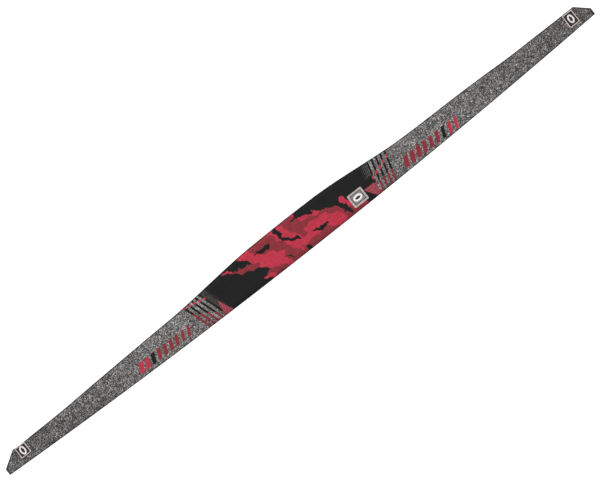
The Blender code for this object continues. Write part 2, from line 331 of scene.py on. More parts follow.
INKS = ("black", "dark", "bright")
CAMO_LEAN = math.radians(-30)  # the splinters run down towards the right
REDS_MIDDLE, REDS_SHEAR = -4, -1.4  # the middle of the reds at y = 0, and its shift for each millimetre up
REDS_REACH, REDS_NARROWING = 82, 0.5  # half the length of the reds, and its loss for each millimetre up
REDS_FILL = 0.5  # lower lets more black splinters into the middle of the reds
REDS_FADE = 2.4  # lower makes the ends of the reds more ragged
REDS_SEED, BRIGHT_SEED = 0.31, 0.81
REDS_SIZE, BRIGHT_SIZE = 1.25, 1.7

# Rows of stripes: the first stripe's x at y = 0, the pitch towards the tip, the lean for each millimetre up.
STRIPE_ROWS = {-1: (-174.4, -8.2, -0.315), 1: (156.6, 8.57, 0.285)}
STRIPE_COUNT = 5
STRIPE_WIDTH = 3.0
BLACK_SPREAD = 0.3  # black stripes are this much wider on each side
# Where the first stripe turns from black to red, and how much higher each next one does.
STRIPE_RED_BELOW = {-1: (-22, 6.3), 1: (-12, 0.4)}
# Each stripe's short bright stretch: its middle on the first one, its rise from one to the next, its length.
STRIPE_FLASH = {-1: (12, 1.8, 4.5), 1: (-3, 3.4, 6)}
BLACK_GROUND = ((-185.5, 34), (-162.8, -36), (146, -36), (164.5, 34))
WEDGES = (((-164, -3), (-149, -36), (-169, -36)), ((131, -10), (156, -10), (148, -36)))


def triangle_wave(turns):
    return 2 * np.abs(2 * (turns - np.floor(turns)) - 1) - 1


def splinters(x, y, seed, size):
    """Long pointed blotches between -1 and 1, from crossing straight-sided waves that bend each other."""
    c, s = math.cos(CAMO_LEAN), math.sin(CAMO_LEAN)
    along, across = (x * c + y * s) / size, (y * c - x * s) / size
    across = across + 3.4 * triangle_wave(along / 47 + seed)
    across = across + 1.2 * triangle_wave(along / 13.7 - 2 * seed) + 0.5 * triangle_wave(along / 5.3 + seed)
    along = along + 7 * triangle_wave(across / 17 + 3 * seed)
    long_ones = triangle_wave(across / 24 + 0.35 * triangle_wave(along / 83) + seed)
    crossing = triangle_wave(along / 53 + across / 37 - seed)
    small_ones = triangle_wave(along / 31 - across / 71 + 2 * seed)
    return 0.55 * long_ones + 0.27 * crossing + 0.18 * small_ones


def red_share(x, y):
    """Above 0 where the camouflage is red: a leaning patch over the forehead with black splinters in it."""
    from_middle = np.abs(x - REDS_MIDDLE - REDS_SHEAR * y) / (REDS_REACH - REDS_NARROWING * y)
    return np.minimum(REDS_FADE * (1 - from_middle), REDS_FILL) + splinters(x, y, REDS_SEED, REDS_SIZE)


def bright_share(x, y):
    return splinters(x, y, BRIGHT_SEED, BRIGHT_SIZE)


def level_distance(share, x, y):
    """Near enough the signed distance to where a share crosses 0, negative where it is above 0."""
    step = 0.4
    value = share(x, y)
    slope = np.hypot(share(x + step, y) - value, share(x, y + step) - value) / step
    return -value / np.maximum(slope, 0.02)


# The tails' print: a row of slanted bars, from one x to another, and its top and bottom.
TAIL_BARS = {-1: (-332, -224, -5.0, -21.2), 1: (208, 322, -6.6, -24.6)}
BAR_COUNT = 9
BAR_SHARE = 0.7  # of the pitch, for the first bar
BAR_NARROWING = 0.05
BAR_LEAN = 0.42
BAR_INKS = {0: "bright", 1: "bright", 2: "black"}  # counted from the tip; the others are dark red


def polygon_distance(points, x, y):
    """Signed distance to a polygon, negative inside it."""
    nearest = np.full(x.shape, np.inf)
    inside = np.zeros(x.shape, bool)
    for (ax, ay), (bx, by) in zip(points, (*points[1:], points[0])):
        ex, ey = bx - ax, by - ay
        along = np.clip(((x - ax) * ex + (y - ay) * ey) / (ex * ex + ey * ey), 0, 1)
        nearest = np.minimum(nearest, np.hypot(x - ax - along * ex, y - ay - along * ey))
        if by != ay:
            crosses = ((ay > y) != (by > y)) & (x < ax + (y - ay) * ex / ey)
            inside ^= crosses
    return np.where(inside, -nearest, nearest)


class Print:
    """The signed distance to each ink, in millimetres, at every point of a cloth."""

    def __init__(self, points):
        self.x, self.y = points[:, 0] / MM, points[:, 1] / MM
        self.ink = {ink: np.full(len(points), 50.0) for ink in INKS}

    def paint(self, ink, distance):
        self.ink[ink] = np.minimum(self.ink[ink], distance)
        for above in INKS[INKS.index(ink) + 1 :]:
            self.cut(above, distance)

    def cut(self, ink, distance):
        """Takes a shape out of an ink, so that the ink below it shows."""
        self.ink[ink] = np.maximum(self.ink[ink], -distance)

    def stripe_row(self, sign):
        """Leaning stripes, black above and red below, each with a short bright stretch."""
        first, pitch, lean = STRIPE_ROWS[sign]
        for stripe in range(STRIPE_COUNT):
            centre = first + pitch * stripe + lean * self.y
            across = np.abs(self.x - centre) / math.hypot(1, lean) - STRIPE_WIDTH / 2
            start, rise = STRIPE_RED_BELOW[sign]
            middle, flash_rise, length = STRIPE_FLASH[sign]
            flash = np.abs(self.y - middle - flash_rise * stripe) - length / 2
            self.paint("black", across - BLACK_SPREAD)
            self.paint("dark", np.maximum(across, self.y - start - rise * stripe))
            self.paint("bright", np.maximum(across, flash))

    def tail_bars(self, x_from, x_to, top, bottom):
        """A row of leaning bars, each a little narrower than the last."""
        pitch = (x_to - x_from) / BAR_COUNT
        slanted = self.x - BAR_LEAN * (self.y - bottom)
        for bar in range(BAR_COUNT):
            half = pitch * BAR_SHARE * (1 - BAR_NARROWING * bar) / 2
            middle = x_from + pitch * (bar + 0.5) - BAR_LEAN * (top - bottom) / 2
            across = (np.abs(slanted - middle) - half) / math.hypot(1, BAR_LEAN)
            tall = np.maximum(self.y - top, bottom - self.y)
            from_tip = bar if x_from < 0 else BAR_COUNT - 1 - bar
            self.paint(BAR_INKS.get(from_tip, "dark"), np.maximum(across, tall))


def print_band(points):
    """Paints the whole band. Each cloth length takes its own points' share of it."""
    art = Print(points)
    art.paint("black", polygon_distance(BLACK_GROUND, art.x, art.y))
    reds = level_distance(red_share, art.x, art.y)
    art.paint("dark", reds)
    art.paint("bright", np.maximum(reds, level_distance(bright_share, art.x, art.y)))
    for wedge in WEDGES:
        art.paint("dark", polygon_distance(wedge, art.x, art.y))
    for sign, bars in TAIL_BARS.items():
        art.stripe_row(sign)
        art.tail_bars(*bars)
    return art.ink


# Hairlines beside the innermost stripes: their lean, where they start and have faded out, and their pitch.
HATCH_LINES = {-1: (0.325, 172.7, 157.0, 2.3), 1: (0.28, 156.0, 138.5, 2.9)}
HATCH_LOWEST = {-1: -36, 1: 1.5}


def hatch_band(points):
    """The place across the hairlines, in lines, their strength on black, and their strength on red."""
    x, y = points[:, 0] / MM, points[:, 1] / MM
    sign = 1 if x.mean() > 0 else -1
    lean, near, far, pitch = HATCH_LINES[sign]
    across = np.abs(x) - lean * y
    on_black = smooth_step((across - far) / (near - far)) * (across < near) * (y > HATCH_LOWEST[sign])
    on_red = np.max([-polygon_distance(wedge, x, y) for wedge in WEDGES], axis=0) > 0
    return across / pitch, on_black, on_red.astype(float)


# --- materials ----------------------------------------------------------------


def linear(red, green, blue):
    """A display colour, 0 to 255, as scene-linear RGB."""
    channels = [value / 255 for value in (red, green, blue)]
    return tuple(((c + 0.055) / 1.055) ** 2.4 if c > 0.04045 else c / 12.92 for c in channels)


SPECULAR = 0.22  # cloth and thread scatter most of what a smooth surface would mirror


class Finish:
    """A Principled material and short ways to add nodes to it."""

    def __init__(self, name, roughness, sheen=0.0):
        self.material = bpy.data.materials.new(name)
        self.material.use_nodes = True
        self.tree = self.material.node_tree
        self.shader = self.tree.nodes["Principled BSDF"]
        self.shader.inputs["Roughness"].default_value = roughness
        self.shader.inputs["Sheen Weight"].default_value = sheen
        self.shader.inputs["Specular IOR Level"].default_value = SPECULAR
        self.place = self.node("ShaderNodeAttribute", attribute_name="place").outputs["Vector"]

    def node(self, kind, **settings):
        made = self.tree.nodes.new(kind)
        for setting, value in settings.items():
            setattr(made, setting, value)
        return made

    def feed(self, socket, value):
        if isinstance(value, bpy.types.NodeSocket):
            self.tree.links.new(value, socket)
        else:
            socket.default_value = value

    def number(self, name):
        return self.node("ShaderNodeAttribute", attribute_name=name).outputs["Fac"]

    def math(self, operation, *values):
        made = self.node("ShaderNodeMath", operation=operation)
        for socket, value in zip(made.inputs, values):
            self.feed(socket, value)
        return made.outputs[0]

    def stretched(self, vector, x, y, z=1.0):
        made = self.node("ShaderNodeVectorMath", operation="MULTIPLY")
        self.feed(made.inputs[0], vector)
        made.inputs[1].default_value = (x, y, z)
        return made.outputs[0]

    def noise(self, vector, size, detail=2.0, roughness=0.5, warp=0.0):
        """Noise whose blotches are about this many metres across."""
        made = self.node("ShaderNodeTexNoise")
        self.feed(made.inputs["Vector"], vector)
        made.inputs["Scale"].default_value = 1 / size
        made.inputs["Detail"].default_value = detail
        made.inputs["Roughness"].default_value = roughness
        made.inputs["Distortion"].default_value = warp
        return made.outputs["Fac"]

    def between(self, value, low, high, to_low=0.0, to_high=1.0):
        """Maps low..high to to_low..to_high with soft ends."""
        made = self.node("ShaderNodeMapRange", interpolation_type="SMOOTHSTEP")
        self.feed(made.inputs["Value"], value)
        for name, number in zip(("From Min", "From Max", "To Min", "To Max"), (low, high, to_low, to_high)):
            made.inputs[name].default_value = number
        return made.outputs["Result"]

    def mix(self, share, first, second):
        """The first colour where share is 0, the second where it is 1."""
        made = self.node("ShaderNodeMix", data_type="RGBA")
        self.feed(made.inputs[0], share)
        for socket, value in zip((made.inputs[6], made.inputs[7]), (first, second)):
            self.feed(socket, value if isinstance(value, bpy.types.NodeSocket) else (*value, 1))
        return made.outputs[2]

    def shade(self, colour, *amounts):
        """The colour times each grey amount."""
        for amount in amounts:
            made = self.node("ShaderNodeVectorMath", operation="SCALE")
            self.feed(made.inputs[0], colour)
            self.feed(made.inputs["Scale"], amount)
            colour = made.outputs[0]
        return colour

    def bump(self, height, depth):
        """A relief of this many metres where the height is 1."""
        made = self.node("ShaderNodeBump")
        self.feed(made.inputs["Height"], height)
        made.inputs["Distance"].default_value = depth
        self.feed(self.shader.inputs["Normal"], made.outputs["Normal"])

    def parts(self):
        split = self.node("ShaderNodeSeparateXYZ")
        self.feed(split.inputs[0], self.place)
        return split.outputs["X"], split.outputs["Y"]

    def knit(self, wale, course):
        """Columns of V-shaped stitches: their relief, 0 to 1, and a random number for each leg of a V."""
        x, y = self.parts()
        column = self.math("DIVIDE", x, wale)
        slope = self.math("ABSOLUTE", self.math("SUBTRACT", self.math("FRACT", column), 0.5))
        row = self.math("MULTIPLY_ADD", slope, 1.3, self.math("DIVIDE", y, course))
        across = self.math("ABSOLUTE", self.math("SINE", self.math("MULTIPLY", column, 2 * math.pi)))
        along = self.math("ABSOLUTE", self.math("SINE", self.math("MULTIPLY", row, math.pi)))
        relief = self.math("POWER", self.math("MULTIPLY", across, along), 0.6)
        cell = self.node("ShaderNodeCombineXYZ")
        self.feed(cell.inputs["X"], self.math("FLOOR", self.math("MULTIPLY", column, 2.0)))
        self.feed(cell.inputs["Y"], self.math("FLOOR", row))
        random = self.node("ShaderNodeTexWhiteNoise")
        self.feed(random.inputs["Vector"], cell.outputs[0])
        return relief, random.outputs["Value"]

    def coloured(self, value):
        self.feed(self.shader.inputs["Base Color"], value)
        return self.material


WALE, COURSE = 0.86 * MM, 0.66 * MM
INK_COLOURS = {"black": linear(24, 23, 24), "dark": linear(128, 44, 52), "bright": linear(174, 47, 66)}
HEATHER = ((0.0, linear(12, 11, 11)), (0.40, linear(64, 61, 59)), (0.60, linear(98, 94, 92)),
           (1.0, linear(188, 183, 180)))
HATCH_GREY, HATCH_PINK = linear(120, 114, 112), linear(190, 104, 116)
INK_EDGE = 0.22  # half the width over which an ink fades out, in millimetres


def heather(finish, random):
    """Marl yarn: dark and light fibres mixed in tufts and curling streaks, darker towards the tips."""
    tuft = finish.noise(finish.stretched(finish.place, 1.0, 1.2), 2.6 * MM, 3.0, 0.75, 1.4)
    streak = finish.noise(finish.stretched(finish.place, 1.5, 0.6), 1.5 * MM, 2.0, 0.6, 2.4)
    mixed = finish.math("MULTIPLY_ADD", tuft, 0.6, finish.math("MULTIPLY", streak, 0.4))
    mixed = finish.math("MULTIPLY_ADD", random, 0.12, mixed)
    mixed = finish.math("MULTIPLY_ADD", finish.noise(finish.place, 13 * MM, 2.0), 0.10, mixed)
    lighter = finish.between(finish.number("from_middle"), 0.56, 0.24, -0.141, -0.117)
    ramp = finish.node("ShaderNodeValToRGB")
    finish.feed(ramp.inputs["Fac"], finish.between(finish.math("ADD", mixed, lighter), 0.28, 0.72))
    for index, (spot, colour) in enumerate(HEATHER):
        stop = ramp.color_ramp.elements[0] if index == 0 else ramp.color_ramp.elements.new(spot)
        stop.position, stop.color = spot, (*colour, 1)
    return ramp.outputs["Color"]


def hatching(finish, strength, closeness):
    """Hairlines beside the stripes: how strongly a line shows, broken up along its length."""
    turns = finish.math("MULTIPLY", finish.number("across_stripes"), 2 * math.pi * closeness)
    lines = finish.between(finish.math("SINE", turns), 0.0, 0.7)
    broken = finish.between(finish.noise(finish.place, 1.6 * MM, 2.0), 0.35, 0.6)
    return finish.math("MULTIPLY", finish.math("MULTIPLY", lines, broken), finish.number(strength))


def face_material():
    """The printed knit: heather yarn under black, dark red and bright red ink, with painted shade in the
    knit's grooves and along the turned edges.
    """
    finish = Finish("printed_knit", 0.9)
    relief, random = finish.knit(WALE, COURSE)
    colour = heather(finish, random)
    wobble = finish.math("MULTIPLY_ADD", finish.noise(finish.place, 0.9 * MM), 0.9, -0.45)
    mottle = finish.noise(finish.place, 6 * MM, 4.0, 0.65)
    streaks = finish.noise(finish.stretched(finish.place, 0.35, 1.3), 3 * MM, 3.0, 0.6, 0.5)
    tone = finish.between(finish.math("MULTIPLY_ADD", streaks, 0.5, finish.math("MULTIPLY", mottle, 0.5)),
                          0.32, 0.68, 0.86, 1.16)
    fibre = finish.between(random, 0.0, 1.0, 0.86, 1.14)
    on_red = hatching(finish, "hatch_red", 1.45), HATCH_PINK
    hatch = {"black": (hatching(finish, "hatch_black", 1), HATCH_GREY), "dark": on_red, "bright": on_red}
    for ink in INKS:
        from_ink = finish.math("ADD", finish.number(f"ink_{ink}"), wobble)
        covered = finish.between(from_ink, INK_EDGE, -INK_EDGE)
        dyed = finish.shade(INK_COLOURS[ink], tone, fibre)
        colour = finish.mix(covered, colour, finish.mix(hatch[ink][0], dyed, hatch[ink][1]))
    # painted shade: the colour darkens to 0.22 over the last 2.4 mm to the edge, where the turned edge rolls
    # away from the light
    painted_edge_shade = finish.between(finish.number("edge"), 0.6 * MM, 2.4 * MM, 0.22, 1.0)
    # painted shade in the knit's grooves: darker where the stitch relief is low
    groove_shade = finish.between(relief, 0.0, 0.6, 0.82, 1.03)
    finish.bump(relief, 0.10 * MM)
    return finish.coloured(finish.shade(colour, painted_edge_shade, groove_shade))


def knit_material(name, colour, wale, course, depth):
    """Plain dyed knit, with tone that varies from stitch to stitch and in slow patches, and painted shade in
    the grooves between stitches.
    """
    finish = Finish(name, 0.9, sheen=0.15)
    relief, random = finish.knit(wale, course)
    tone = finish.between(random, 0.0, 1.0, 0.82, 1.18)
    patches = finish.between(finish.noise(finish.place, 22 * MM, 3.0), 0.3, 0.7, 0.88, 1.12)
    # painted shade in the knit's grooves: darker where the stitch relief is low
    groove_shade = finish.between(relief, 0.0, 0.6, 0.65, 1.05)
    finish.bump(relief, depth)
    return finish.coloured(finish.shade(colour, tone, patches, groove_shade))


def terry_material(name, colour):
    """Short looped pile over an open ground, with painted shade between the loops."""
    finish = Finish(name, 0.95, sheen=0.3)
    loops = finish.node("ShaderNodeTexVoronoi")
    finish.feed(loops.inputs["Vector"], finish.stretched(finish.place, 1.0, 1.35))
    loops.inputs["Scale"].default_value = 1 / (0.9 * MM)
    pile = finish.between(loops.outputs["Distance"], 0.05, 0.75, 1.0, 0.0)
    fuzz = finish.noise(finish.place, 0.35 * MM, 3.0, 0.7, 1.0)
    finish.bump(finish.math("MULTIPLY_ADD", fuzz, 0.5, pile), 0.22 * MM)
    patches = finish.between(finish.noise(finish.place, 16 * MM, 3.0), 0.3, 0.7, 0.86, 1.14)
    # painted shade: the colour darkens to 0.55 where the pile is low, between the loops
    return finish.coloured(finish.shade(colour, finish.between(pile, 0.0, 1.0, 0.55, 1.15), patches))


def thread_material(name, colour, wear=0.12):
    """Embroidery or sewing thread: painted shade in the gaps between the stitches, fine plies and uneven,
    worn dye.
    """
    finish = Finish(name, 0.6, sheen=0.1)
    stitches = finish.number("stitches")
    wave = finish.math("ABSOLUTE", finish.math("SINE", finish.math("MULTIPLY", stitches, math.pi)))
    ridge = finish.between(wave, 0.0, 0.75)
    random = finish.node("ShaderNodeTexWhiteNoise", noise_dimensions="1D")
    finish.feed(random.inputs["W"], finish.math("FLOOR", stitches))
    plies = finish.noise(finish.place, 0.28 * MM, 2.0, 0.6, 0.8)
    uneven = finish.noise(finish.place, 2.2 * MM, 3.0, 0.7)
    finish.bump(finish.math("MULTIPLY_ADD", plies, 0.4, ridge), 0.10 * MM)
    dye = finish.between(uneven, 0.32, 0.68, 1 - wear, 1 + 0.6 * wear)
    # painted shade in the gaps between stitches: darker where the stitch ridge is low
    gap_shade = finish.between(ridge, 0.0, 1.0, 0.5, 1.05)
    each = finish.between(random.outputs["Value"], 0.0, 1.0, 0.86, 1.08)
    return finish.coloured(finish.shade(colour, gap_shade, each, dye))


def woven_material(name, colour, pitch, mark=None):
    """Plain weave of fine threads, with painted shade where the threads dip. Where the attribute named mark
    is above 0, dark threads show.
    """
    finish = Finish(name, 0.75, sheen=0.1)
    x, y = finish.parts()
    threads = [finish.math("SINE", finish.math("MULTIPLY", place, math.pi / pitch)) for place in (x, y)]
    weave = finish.math("MULTIPLY_ADD", finish.math("MULTIPLY", *threads), 0.5, 0.5)
    finish.bump(weave, 0.08 * MM)
    if mark:
        broken = finish.noise(finish.place, 0.8 * MM, 2.0)
        inked = finish.between(finish.math("MULTIPLY_ADD", broken, 0.9, finish.number(mark)), 0.45, 0.85)
        colour = finish.mix(inked, colour, linear(44, 42, 43))
    tone = finish.between(finish.noise(finish.place, 0.9 * MM, 3.0, 0.6), 0.3, 0.7, 0.78, 1.18)
    # the last factor is painted shade: darker where the weave relief is low
    return finish.coloured(finish.shade(colour, tone, finish.between(weave, 0.1, 0.8, 0.72, 1.08)))


def silicone_material(name, colour):
    """Soft moulded silicone with a faint haze, and painted shade in the valleys between the ribs."""
    finish = Finish(name, 0.4)
    finish.shader.inputs["Coat Weight"].default_value = 0.2
    finish.shader.inputs["Coat Roughness"].default_value = 0.3
    haze = finish.noise(finish.place, 3 * MM, 4.0, 0.6)
    finish.feed(finish.shader.inputs["Roughness"], finish.between(haze, 0.3, 0.7, 0.32, 0.52))
    finish.bump(finish.noise(finish.place, 0.5 * MM, 3.0), 0.02 * MM)
    # painted shade: darker in the valleys between the ribs
    valley_shade = finish.between(finish.number("ribs"), 0.1, 0.75, 0.42, 1.1)
    return finish.coloured(finish.shade(colour, finish.between(haze, 0.3, 0.7, 0.85, 1.2), valley_shade))


MATERIALS = {
    "printed_cloth": face_material(),
    "back_cloth": knit_material("back_knit", linear(74, 71, 71), WALE, COURSE, 0.12 * MM),
    "sweat_liner": terry_material("terry_liner", linear(66, 64, 66)),
    "spacer_knit": knit_material("spacer_knit", linear(168, 166, 162), 2.2 * MM, 1.9 * MM, 0.3 * MM),
    "silicone": silicone_material("grip_silicone", linear(58, 58, 62)),
    "thread": thread_material("black_thread", linear(44, 43, 44)),
    "light_thread": thread_material("pale_thread", linear(195, 190, 188), wear=0.32),
    "label_thread": thread_material("label_thread", linear(228, 206, 205)),
    "white_thread": thread_material("white_thread", linear(240, 236, 234)),
    "label_ground": woven_material("label_weave", linear(40, 38, 40), 0.42 * MM),
    "patch_ground": woven_material("patch_twill", linear(132, 129, 126), 0.6 * MM, mark="inner_line"),
}


def finished(piece, slot, material=None):
    """Gives a piece the material named by slot, or the one named by material when that is given."""
    piece.data.materials.append(MATERIALS[material or slot])
    store_place(piece)
    return piece


# --- lengths of cloth ---------------------------------------------------------

# Where the sweat liner meets the back cloth: at the second hinge.
CROSS_SEAM = HINGE_X[1]


class Length:
    """A stretch of one arm, from the middle of one body to the middle of the next, over one joint."""

    def __init__(self, side, number):
        sign = SIDES[side]
        cuts = (0.0, *[(a + b) / 2 for a, b in zip(HINGE_X[:-1], HINGE_X[1:])], HALF_LENGTH)
        names = ["forehead"] + [f"{body}_{side}" for body in BODIES[1:]]
        self.side, self.sign = side, sign
        self.inner, self.outer = names[number], names[number + 1]
        self.x_from, self.x_to = sign * cuts[number], sign * cuts[number + 1]
        self.hinge = sign * HINGE_X[number]
        self.joint = ("forehead_bend", "temple_bend", "knot_bend", "tail_fold")[number]
        self.is_tip = number == len(HINGE_X) - 1

    def name(self, kind):
        return f"{kind}_over_{self.joint}_{self.side}"

    def bend(self, piece):
        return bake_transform(piece)

    def nodes(self, kind):
        """The CAD nodes of one kind that lie on this length's two bodies."""
        return [node for node in (f"{kind}_{self.inner}", f"{kind}_{self.outer}") if node in frame["nodes"]]


def pieces_under(length):
    """Names of what the face cloth of a length lies on."""
    middle, end = abs(length.x_from), abs(length.x_to)
    pad = [f"absorbent_pad_half_{length.side}"] if middle < PAD_END else []
    liner = [length.name("sweat_liner")] if middle < CROSS_SEAM else []
    back = [length.name("back_cloth")] if end > CROSS_SEAM else []
    return pad + liner + back


def paint_face(piece):
    """Stores what the printed material reads: the distance to each ink, to the edge for the painted edge
    shade, and the hairlines.
    """
    points = coordinates(piece)
    for ink, distance in print_band(points).items():
        store(piece, f"ink_{ink}", np.clip(distance, -20, 20))
    across, on_black, on_red = hatch_band(points)
    store(piece, "across_stripes", across)
    store(piece, "hatch_black", on_black)
    store(piece, "hatch_red", on_red)
    store(piece, "edge", edge_distance(points[:, 0], points[:, 1]))
    store(piece, "from_middle", np.abs(points[:, 0]))


def face_cloth(length):
    fine = not length.is_tip
    columns = span_columns(length.x_from, length.x_to, FINE_STEP if fine else COARSE_STEP)
    x, y = cloth_grid(columns, FINE_ROWS if fine else COARSE_ROWS)
    top = face_top(x, y)
    thickness = np.minimum(CLOTH, 0.6 * (top - SEAM_Z))
    piece = closed_sheet(length.name("face"), x, y, top, top - thickness, length.is_tip)
    finished(piece, "printed_cloth" if fine else "heather_cloth", "printed_cloth")
    paint_face(piece)
    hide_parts(*length.nodes("face_cloth"))
    pieces_under(length)
    return length.bend(piece)


GRIP_HALF_LENGTH = (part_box("grip_strip_lower")[1].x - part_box("grip_strip_lower")[0].x) / 2
GRIP_HALF_WIDTH = (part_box("grip_strip_lower")[1].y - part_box("grip_strip_lower")[0].y) / 2
GRIP_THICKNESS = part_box("grip_strip_lower")[1].z
GRIP_Y = {"lower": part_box("grip_strip_lower")[0].y + GRIP_HALF_WIDTH,
          "upper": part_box("grip_strip_upper")[0].y + GRIP_HALF_WIDTH}
GRIP_RIB = 2.2 * MM
GRIP_COLUMNS = 300
RECESS_END, RECESS_SIDE = 2 * MM, 1.6 * MM  # how softly the liner sinks round a strip
SEAM_RIDGE, SEAM_RIDGE_WIDTH = 0.22 * MM, 1.1 * MM  # where liner and back cloth are joined


def grip_recess(x, y):
    """How far the liner is pressed in over each grip strip, from 0 to 1."""
    along = smooth_step((GRIP_HALF_LENGTH + RECESS_END - np.abs(x)) / RECESS_END)
    to_strip = np.minimum(*(np.abs(y - middle) for middle in GRIP_Y.values()))
    return along * smooth_step((GRIP_HALF_WIDTH + RECESS_SIDE - to_strip) / RECESS_SIDE)


def under_cloth(length, kind, x_from, x_to):
    """A length of sweat liner or back cloth, with its outer side down."""
    x, y = cloth_grid(span_columns(x_from, x_to, 1.2 * MM), COARSE_ROWS)
    bottom = under_bottom(x, y)
    near_seam = np.exp(-(((np.abs(x) - CROSS_SEAM) / SEAM_RIDGE_WIDTH) ** 2))
    near_seam = near_seam * smooth_step(edge_distance(x, y) / (3 * MM))
    bottom = bottom + SEAM_RIDGE * near_seam
    if kind == "sweat_liner":
        bottom = np.maximum(bottom, grip_recess(x, y) * (GRIP_THICKNESS + 0.02 * MM))
    thickness = np.minimum(CLOTH, 0.6 * (SEAM_Z - bottom))
    piece = closed_sheet(length.name(kind), x, y, bottom, bottom + thickness, length.is_tip)
    finished(piece, kind)
    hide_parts(*length.nodes(kind))
    return length.bend(piece)


def under_cloths(length):
    """The liner as far as the cross seam, and the back cloth beyond it."""
    seam = length.sign * CROSS_SEAM
    if abs(length.x_to) < CROSS_SEAM:
        return under_cloth(length, "sweat_liner", length.x_from, length.x_to)
    if abs(length.x_from) > CROSS_SEAM:
        return under_cloth(length, "back_cloth", length.x_from, length.x_to)
    under_cloth(length, "sweat_liner", length.x_from, seam)
    return under_cloth(length, "back_cloth", seam, length.x_to)


# --- what lies inside and underneath ------------------------------------------

PAD_INSET = 9 * MM
PAD_ROUND = 1.2 * MM
PAD_CELL, PAD_CELL_DEPTH = 5.5 * MM, 0.12 * MM


def absorbent_pad(length):
    """Half of the spacer-knit pad, with shallow cells over both faces."""
    end = length.sign * PAD_END
    flat = np.linspace(0, end - length.sign * PAD_ROUND, 140)
    columns = np.concatenate((flat, [end - length.sign * 0.4 * MM, end]))
    low, high = lower_edge(columns) + PAD_INSET, upper_edge(columns) - PAD_INSET
    across = np.concatenate(([0, 0.006, 0.018], np.linspace(0.04, 0.96, 34), [0.982, 0.994, 1]))
    x = np.repeat(columns[:, None], len(across), axis=1)
    y = low[:, None] + (high - low)[:, None] * across[None, :]
    edge = np.minimum(np.minimum(y - low[:, None], high[:, None] - y), PAD_END - np.abs(x))
    rounding = np.sqrt(1 - (1 - np.clip(edge / PAD_ROUND, 0, 1)) ** 2)
    cells = np.abs(np.sin(math.pi * (x + y) / PAD_CELL) * np.sin(math.pi * (x - y) / PAD_CELL))
    middle, half = (PAD_BOTTOM + PAD_TOP) / 2, (PAD_TOP - PAD_BOTTOM) / 2
    reach = rounding * (half - PAD_CELL_DEPTH * (1 - cells))
    piece = closed_sheet(f"absorbent_pad_half_{length.side}", x, y, middle + reach, middle - reach, False)
    finished(piece, "spacer_knit")
    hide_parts("absorbent_pad_forehead", f"absorbent_pad_{length.outer}")
    return length.bend(piece)


def grip_strip(length, row):
    """Half of a silicone strip on the liner, with cross ribs that touch the skin."""
    columns = np.linspace(0, length.sign * GRIP_HALF_LENGTH, GRIP_COLUMNS)
    shares = (0.25, 0.5, 0.72, 0.88, 0.97, 1)
    across = np.array((*[-share for share in reversed(shares)], 0, *shares)) * GRIP_HALF_WIDTH
    x = np.repeat(columns[:, None], len(across), axis=1)
    y = np.repeat(GRIP_Y[row] + across[None, :], len(columns), axis=0)
    crown = np.sqrt(1 - (across / GRIP_HALF_WIDTH) ** 2)[None, :] ** 0.5
    end = np.sqrt(np.clip((GRIP_HALF_LENGTH - np.abs(x)) / (1.5 * MM), 0, 1))
    rib = 0.62 + 0.38 * np.abs(np.cos(math.pi * x / GRIP_RIB)) ** 0.7
    bottom = GRIP_THICKNESS - (GRIP_THICKNESS - 0.02 * MM) * crown * end * rib - 0.01 * MM
    top = np.full_like(bottom, GRIP_THICKNESS)
    piece = closed_sheet(f"grip_strip_{row}_{length.side}", x, y, bottom, top, False)
    finished(piece, "silicone")
    # the rib phase, which the silicone reads for its painted shade in the valleys
    store(piece, "ribs", np.abs(np.cos(math.pi * coordinates(piece)[:, 0] / GRIP_RIB)))
    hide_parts(f"grip_strip_{row}")
    return length.bend(piece)


def tube(name, path, radius, sides=6):
    """A thread along a path of points, with a flat cap at both ends."""
    path = np.asarray(path)
    ahead = np.gradient(path, axis=0)
    ahead /= np.linalg.norm(ahead, axis=1)[:, None]
    up = np.zeros_like(path) + (0, 0, 1)
    across = np.cross(ahead, up)
    across /= np.linalg.norm(across, axis=1)[:, None]
    up = np.cross(across, ahead)
    turn = np.linspace(0, 2 * math.pi, sides, endpoint=False)
    ring = across[:, None, :] * np.cos(turn)[None, :, None] + up[:, None, :] * np.sin(turn)[None, :, None]
    points = (path[:, None, :] + radius * ring).reshape(-1, 3)
    index = np.arange(len(path) * sides).reshape(len(path), sides)
    index = np.concatenate((index, index[:, :1]), axis=1)
    faces = grid_quads(index).tolist() + [index[0, :-1].tolist(), index[-1, :-1].tolist()]
    piece = mesh_object(name, points, faces)
    store(piece, "stitches", np.repeat(np.arange(len(path)) / 2, sides))
    return piece


THREAD_RADIUS = 0.1 * MM
THREAD_INSET = SEAM_FROM_EDGE + 0.7 * MM


def seam_run(x_from, x_to, edge):
    """Points of a lockstitch just inside one edge, half a stitch apart."""
    count = max(3, round(abs(x_to - x_from) / (STITCH / 2)))
    x = np.linspace(x_from, x_to, count + 1)
    y = lower_edge(x) + THREAD_INSET if edge == "lower" else upper_edge(x) - THREAD_INSET
    z = SEAM_Z + 0.04 * MM * np.cos(np.arange(count + 1) * math.pi)
    return np.stack((x, y, z), -1)


